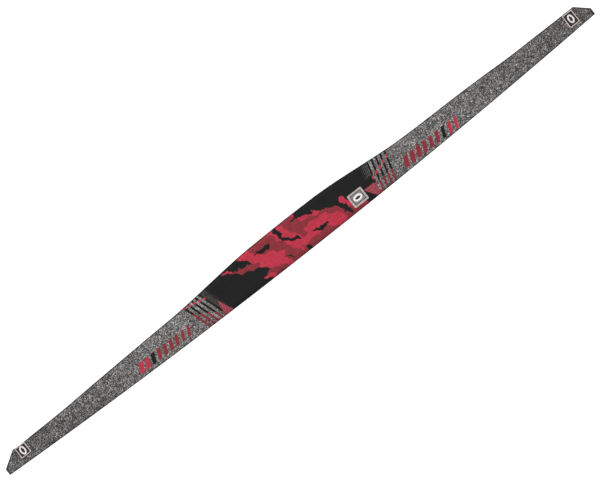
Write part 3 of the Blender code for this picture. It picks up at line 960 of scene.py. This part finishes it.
def seam_threads(length):
    """The hidden seam along both edges; at a tip one thread goes all the way round."""
    nodes = [node for node in frame["nodes"] if node.startswith("seam_thread") and is_on(node, length)]
    if not length.is_tip:
        for edge in ("lower", "upper"):
            path = seam_run(length.x_from, length.x_to, edge)
            piece = tube(f"{length.name('seam_thread')}_{edge}", path, THREAD_RADIUS)
            finished(piece, "thread")
            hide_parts(*[node for node in nodes if node.endswith(edge)])
            length.bend(piece)
        return
    turn_x = length.x_to - length.sign * THREAD_INSET
    lower = seam_run(length.x_from, turn_x, "lower")
    cut_x = length.x_to - length.sign * (TIP_CUT[length.sign] + THREAD_INSET / 2)
    upper = seam_run(length.x_from, cut_x, "upper")
    corner = (turn_x, lower_edge(HALF_LENGTH) + TIP_END - THREAD_INSET / 3, SEAM_Z)
    path = np.concatenate((lower, [corner], upper[::-1]))
    piece = finished(tube(length.name("seam_thread"), path, THREAD_RADIUS), "thread")
    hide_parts(*nodes)
    length.bend(piece)


def is_on(node, length):
    """Whether a CAD node rides on one of a length's two bodies."""
    return frame["nodes"][node]["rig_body"] in (length.inner, length.outer)


# --- trim ---------------------------------------------------------------------


def rectangle_loop(width, height, radius, spacing):
    """Points and outward normals round a rectangle with round corners, anticlockwise."""
    half = np.array((width / 2 - radius, height / 2 - radius))
    spots, normals = [], []
    for quarter, corner in enumerate(((1, 1), (-1, 1), (-1, -1), (1, -1))):
        angles = (quarter + np.linspace(0, 1, max(3, round(radius * math.pi / 2 / spacing)))) * math.pi / 2
        normal = np.stack((np.cos(angles), np.sin(angles)), -1)
        spots.append(np.array(corner) * half + radius * normal)
        normals.append(normal)
    spots, normals = np.concatenate(spots), np.concatenate(normals)
    return resampled(spots, normals, spacing)


def oval_loop(width, height, spacing):
    """Points and outward normals round an ellipse."""
    angles = np.linspace(0, 2 * math.pi, 240, endpoint=False)
    spots = np.stack((width / 2 * np.cos(angles), height / 2 * np.sin(angles)), -1)
    normals = np.stack((height * np.cos(angles), width * np.sin(angles)), -1)
    normals /= np.linalg.norm(normals, axis=1)[:, None]
    return resampled(spots, normals, spacing)


def resampled(spots, normals, spacing):
    """The same closed loop with points an even distance apart, and the distance along it."""
    closed, turned = np.concatenate((spots, spots[:1])), np.concatenate((normals, normals[:1]))
    along = np.concatenate(([0], np.cumsum(np.linalg.norm(np.diff(closed, axis=0), axis=1))))
    even = np.linspace(0, along[-1], round(along[-1] / spacing), endpoint=False)
    new_spots = np.stack([np.interp(even, along, closed[:, axis]) for axis in (0, 1)], -1)
    new_normals = np.stack([np.interp(even, along, turned[:, axis]) for axis in (0, 1)], -1)
    new_normals /= np.linalg.norm(new_normals, axis=1)[:, None]
    return new_spots, new_normals, even


def satin_ring(name, centre, loop, width, height, bottom, stitch):
    """A closed band of satin stitches along a loop: an arched section, notched between the stitches."""
    spots, normals, along = loop
    angles = np.linspace(0, math.pi, 11)
    notch = 0.72 + 0.28 * np.abs(np.sin(math.pi * along / stitch)) ** 0.6
    uneven = 1 + 0.05 * np.sin(along / (1.7 * stitch)) * np.sin(along / (0.61 * stitch))
    reach = width / 2 * np.cos(angles)[None, :] * (0.96 + 0.04 * notch * uneven)[:, None]
    rise = height * np.sin(angles)[None, :] ** 0.75 * (notch * uneven)[:, None]
    x = centre[0] + spots[:, :1] + normals[:, :1] * reach
    y = centre[1] + spots[:, 1:] + normals[:, 1:] * reach
    points = np.stack((x, y, bottom + np.minimum(rise, height)), -1).reshape(-1, 3)
    index = np.arange(len(points)).reshape(len(spots), len(angles))
    index = np.concatenate((index, index[:, :1]), axis=1)
    index = np.concatenate((index, index[:1]), axis=0)
    piece = mesh_object(name, points, grid_quads(index).tolist())
    store(piece, "stitches", np.repeat(along / stitch, len(angles)))
    return piece


def weave_panel(name, centre, width, height, bottom, top, fullness):
    """A small woven panel: flat below, slightly crowned on top."""
    across = np.linspace(-0.5, 0.5, 60)
    x = centre[0] + np.repeat(across[:, None] * width, 60, axis=1)
    y = centre[1] + np.repeat(across[None, :] * height, 60, axis=0)
    crown = np.sqrt(np.clip(1 - (2 * np.abs(across)) ** 6, 0, 1))
    rise = (top - bottom) * (1 - fullness + fullness * crown[:, None] * crown[None, :])
    rise[:, (0, -1)] = 0.5 * (top - bottom)
    return closed_sheet(name, x, y, bottom + rise, np.full_like(x, bottom), False)


def box_centre(node):
    low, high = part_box(node)
    return ((low + high) / 2).xy, high - low


BADGE_BORDER, BADGE_RING = 3.0 * MM, 3.4 * MM  # how wide their stitches are
INNER_LINE_INSET, INNER_LINE_HALF = 4.0 * MM, 0.8 * MM
LABEL_BORDER, LABEL_RING = 1.5 * MM, 2.6 * MM
# The labels and the oval rings are wider than the same shapes in the CAD, and the labels sit higher.
LABEL_GROWTH = Vector((1.18, 1.21))
LABEL_RISE = 1.6 * MM
LABEL_FROM_EDGE = 0.3 * MM
LABEL_RELIEF = 0.34 * MM
MARK_GROWTH = 1.1
RING_GROWTH = Vector((1.22, 1.4))
SATIN_STITCH, LABEL_STITCH = 0.55 * MM, 0.4 * MM
POINTS_PER_STITCH = 6


def sewn_on(piece, slot, node, body, material=None):
    """Gives a small piece of trim its finish, hides the CAD node it stands for and puts it on the body it
    rides on.
    """
    finished(piece, slot, material)
    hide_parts(node)
    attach(piece, body)


def badge_lines(ground, centre, size, mark_centre, mark_size):
    """Stores where the dark threads show: a line inside the border, and the middle of the ring."""
    points = coordinates(ground)
    to_side = [size[axis] / 2 - np.abs(points[:, axis] - centre[axis]) for axis in (0, 1)]
    on_line = 1 - np.abs(np.minimum(*to_side) - INNER_LINE_INSET) / INNER_LINE_HALF
    oval = np.hypot(*((points[:, axis] - mark_centre[axis]) / mark_size[axis] for axis in (0, 1)))
    store(ground, "inner_line", np.clip(np.maximum(on_line * 0.6, (0.42 - oval) * 8), -1, 1))


def badge():
    """The stitched badge on the right temple: twill ground, satin border and an oval ring."""
    centre, size = box_centre("patch_border")
    mark_centre, mark_size = box_centre("patch_mark")
    low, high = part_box("patch_ground")
    panel = size - Vector((2 * MM, 2 * MM, 0))
    ground = weave_panel("badge_ground", centre, panel.x, panel.y, low.z, high.z, 0.3)
    badge_lines(ground, centre, size, mark_centre, mark_size)
    spacing = SATIN_STITCH / POINTS_PER_STITCH
    loop = rectangle_loop(size.x - BADGE_BORDER, size.y - BADGE_BORDER, 0.7 * MM, spacing)
    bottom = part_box("patch_border")[0].z
    border = satin_ring("badge_border", centre, loop, BADGE_BORDER, size.z, bottom, SATIN_STITCH)
    loop = oval_loop(MARK_GROWTH * mark_size.x - BADGE_RING, MARK_GROWTH * mark_size.y - BADGE_RING, spacing)
    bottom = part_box("patch_mark")[0].z
    mark = satin_ring("badge_ring", mark_centre, loop, BADGE_RING, mark_size.z, bottom, SATIN_STITCH)
    sewn_on(ground, "patch_ground", "patch_ground", "temple_right")
    sewn_on(border, "light_thread", "patch_border", "temple_right")
    sewn_on(mark, "white_thread", "patch_mark", "temple_right")


def label_place(side):
    """The middle and the size of a tip's label: grown, raised, and stopped short of the band's edge."""
    centre, size = box_centre(f"label_frame_{side}")
    width, height = size.x * LABEL_GROWTH.x, size.y * LABEL_GROWTH.y
    low = centre.y + LABEL_RISE - height / 2
    corners = [upper_edge(centre.x + sign * width / 2) for sign in (-1, 1)]
    high = min(low + height, float(min(corners)) - LABEL_FROM_EDGE)
    return Vector((centre.x, (low + high) / 2)), Vector((width, high - low))


def tip_label(side):
    """A woven label near a tip: dark ground, pale frame and a ring."""
    centre, size = label_place(side)
    low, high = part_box(f"label_ground_{side}")
    panel = size - Vector((MM, MM))
    ground = weave_panel(f"tip_label_{side}", centre, panel.x, panel.y, low.z, high.z, 0.35)
    spacing = LABEL_STITCH / POINTS_PER_STITCH
    loop = rectangle_loop(size.x - LABEL_BORDER, size.y - LABEL_BORDER, 0.5 * MM, spacing)
    border_name, bottom = f"tip_label_frame_{side}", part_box(f"label_frame_{side}")[0].z
    border = satin_ring(border_name, centre, loop, LABEL_BORDER, LABEL_RELIEF, bottom, LABEL_STITCH)
    low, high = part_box(f"label_mark_{side}")
    width, height = (high.x - low.x) * RING_GROWTH.x, (high.y - low.y) * RING_GROWTH.y
    loop = oval_loop(width - LABEL_RING, height - LABEL_RING, spacing)
    mark_name = f"tip_label_ring_{side}"
    mark = satin_ring(mark_name, centre, loop, LABEL_RING, LABEL_RELIEF, low.z, LABEL_STITCH)
    body = f"tail_end_{side}"
    sewn_on(ground, "label_ground", f"label_ground_{side}", body)
    sewn_on(border, "light_thread", f"label_frame_{side}", body, "label_thread")
    sewn_on(mark, "white_thread", f"label_mark_{side}", body)


BARTACK_TURNS, BARTACK_RADIUS = 22, 0.16 * MM


def bartack(side):
    """A tight zigzag of thread beside a tip's square end."""
    low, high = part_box(f"tip_bartack_{side}")
    radius = BARTACK_RADIUS
    y = np.linspace(low.y + radius, high.y - radius, BARTACK_TURNS * 6 + 1)
    swing = np.cos(np.linspace(0, BARTACK_TURNS * math.pi, len(y)))
    x = (low.x + high.x) / 2 + ((high.x - low.x) / 2 - radius) * np.sign(swing) * np.abs(swing) ** 0.6
    z = low.z + radius + (high.z - low.z - 2 * radius) * (1 - np.abs(swing) ** 3)
    piece = tube(f"bartack_{side}", np.stack((x, y, z), -1), radius)
    sewn_on(piece, "thread", f"tip_bartack_{side}", f"tail_end_{side}")


# --- stage --------------------------------------------------------------------

VIEW_CENTRE = Vector((1.0 * MM, -9.3 * MM, 0))
VIEW_TURN = -38.26  # degrees
VIEW_WIDTH = 966.9 * MM
LENS = 85.0
FLOOR_Z = -(HALF_LENGTH - HINGE_X[0]) - 30 * MM  # below the lowest place that a bent arm reaches
FLOOR_SIZE, FLOOR_GREY = 40, 0.97
FILL_LIGHT = 0.7
KEY_LIGHT, KEY_TILT, KEY_SOFTNESS = 2.6, 48, 25  # strength, then degrees


def floor():
    """A plain pale floor, low enough for an arm of the band to hang straight down."""
    bpy.ops.mesh.primitive_plane_add(size=FLOOR_SIZE, location=(0, 0, FLOOR_Z))
    plane = bpy.context.object
    plane.name = "floor"
    finish = Finish("floor_paint", 0.9)
    speckle = finish.noise(finish.node("ShaderNodeTexCoord").outputs["Object"], 0.4, 2.0)
    paint = finish.shade((FLOOR_GREY,) * 3, finish.between(speckle, 0.0, 1.0, 0.99, 1.0))
    plane.data.materials.append(finish.coloured(paint))


def lights():
    """Even white light from all round and a broad soft key light over the band's upper edge."""
    world = bpy.data.worlds.new("studio")
    world.use_nodes = True
    background = world.node_tree.nodes["Background"]
    background.inputs["Color"].default_value = (1, 1, 1, 1)
    background.inputs["Strength"].default_value = FILL_LIGHT
    bpy.context.scene.world = world
    lamp = bpy.data.lights.new("key_light", "SUN")
    lamp.energy, lamp.angle = KEY_LIGHT, math.radians(KEY_SOFTNESS)
    key_light = bpy.data.objects.new("key_light", lamp)
    key_light.rotation_euler = (math.radians(-KEY_TILT), 0, 0)
    bpy.context.scene.collection.objects.link(key_light)


def camera():
    """Straight above the band, turned so that the right tip is at the upper right."""
    data = bpy.data.cameras.new("camera")
    data.lens = LENS
    eye = bpy.data.objects.new("camera", data)
    eye.location = VIEW_CENTRE + Vector((0, 0, VIEW_WIDTH / data.sensor_width * LENS))
    eye.rotation_euler = (0, 0, math.radians(VIEW_TURN))
    bpy.context.scene.collection.objects.link(eye)
    bpy.context.scene.camera = eye


def build_band():
    for side in SIDES:
        lengths = [Length(side, number) for number in range(len(HINGE_X))]
        for length in lengths:
            face_cloth(length)
            under_cloths(length)
            seam_threads(length)
        absorbent_pad(lengths[0])
        for row in GRIP_Y:
            grip_strip(lengths[0], row)
        tip_label(side)
        bartack(side)
    badge()


camera()
lights()
floor()
build_band()
bpy.context.scene.view_settings.view_transform = "Standard"
